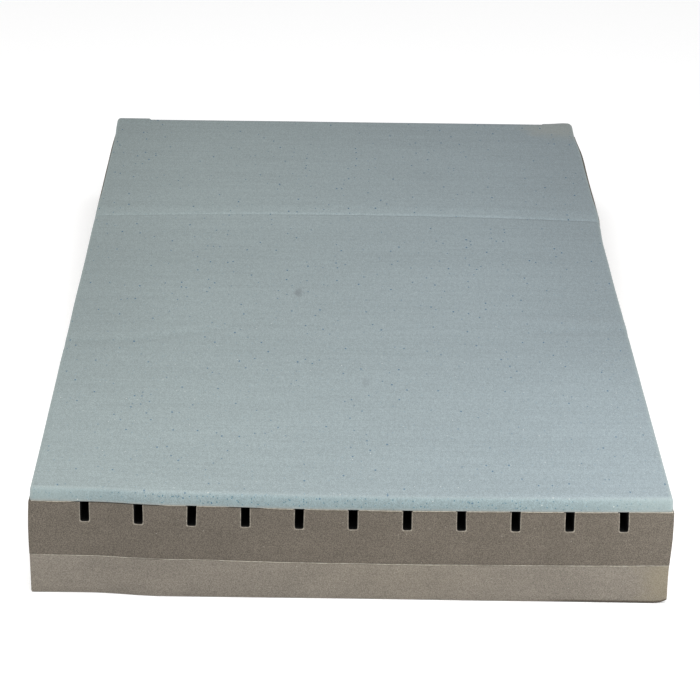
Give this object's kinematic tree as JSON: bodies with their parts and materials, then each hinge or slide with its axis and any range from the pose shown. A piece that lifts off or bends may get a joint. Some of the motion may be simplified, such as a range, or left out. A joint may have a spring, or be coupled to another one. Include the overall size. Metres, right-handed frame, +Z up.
{
  "type": "pressure relief mattress",
  "caption": "Uncovered foam core of a pressure relief mattress for a profiling bed: memory foam over a slab with lengthwise air slots over a firm base, bending at hip and knee.",
  "frame": {"origin": "centre of the underside", "axes": "+Z up, +Y towards the head end, +X to the right seen from the foot end"},
  "size_m": [0.9, 2, 0.157],
  "materials": {
    "memory_foam": "pale blue-grey open-cell memory foam with blue gel beads, dull",
    "slotted_foam": "grey-brown fine-cell cut foam, dull",
    "base_foam": "pale grey-brown firm cut foam, dull",
    "glue": "thin pale cured spray glue"
  },
  "bodies": {
    "seat_section": {"base_foam_seat": "base_foam", "base_foam_hip_fold": "base_foam", "base_foam_thigh_fold": "base_foam", "lower_glue_film_seat": "glue", "lower_glue_film_hip_fold": "glue", "lower_glue_film_thigh_fold": "glue", "slotted_foam_seat": "slotted_foam", "slotted_foam_hip_fold": "slotted_foam", "slotted_foam_thigh_fold": "slotted_foam", "upper_glue_film_seat": "glue", "upper_glue_film_hip_fold": "glue", "upper_glue_film_thigh_fold": "glue", "memory_foam_seat": "memory_foam", "memory_foam_hip_fold": "memory_foam", "memory_foam_thigh_fold": "memory_foam"},
    "head_section": {"base_foam_head": "base_foam", "lower_glue_film_head": "glue", "slotted_foam_head": "slotted_foam", "upper_glue_film_head": "glue", "memory_foam_head": "memory_foam"},
    "thigh_section": {"base_foam_thigh": "base_foam", "lower_glue_film_thigh": "glue", "slotted_foam_thigh": "slotted_foam", "upper_glue_film_thigh": "glue", "memory_foam_thigh": "memory_foam"},
    "leg_section": {"base_foam_legs": "base_foam", "lower_glue_film_legs": "glue", "slotted_foam_legs": "slotted_foam", "upper_glue_film_legs": "glue", "memory_foam_legs": "memory_foam"}
  },
  "joints": [
    {"name": "backrest_fold", "type": "hinge", "parent": "seat_section", "child": "head_section", "pos_m": [0, 0.33333, 0], "axis": [1, 0, 0], "range_deg": [0, 70], "deforming": ["base_foam_hip_fold", "lower_glue_film_hip_fold", "slotted_foam_hip_fold", "upper_glue_film_hip_fold", "memory_foam_hip_fold"]},
    {"name": "thigh_raise", "type": "hinge", "parent": "seat_section", "child": "thigh_section", "pos_m": [0, 0.03333, 0], "axis": [-1, 0, 0], "range_deg": [0, 30], "deforming": ["base_foam_thigh_fold", "lower_glue_film_thigh_fold", "slotted_foam_thigh_fold", "upper_glue_film_thigh_fold", "memory_foam_thigh_fold"]},
    {"name": "knee_fold", "type": "hinge", "parent": "thigh_section", "child": "leg_section", "pos_m": [0, -0.33333, 0], "axis": [1, 0, 0], "range_deg": [0, 46]}
  ],
  "couplings": [
    {"joint": "knee_fold", "follows": "thigh_raise", "ratio": 1.5321}
  ]
}
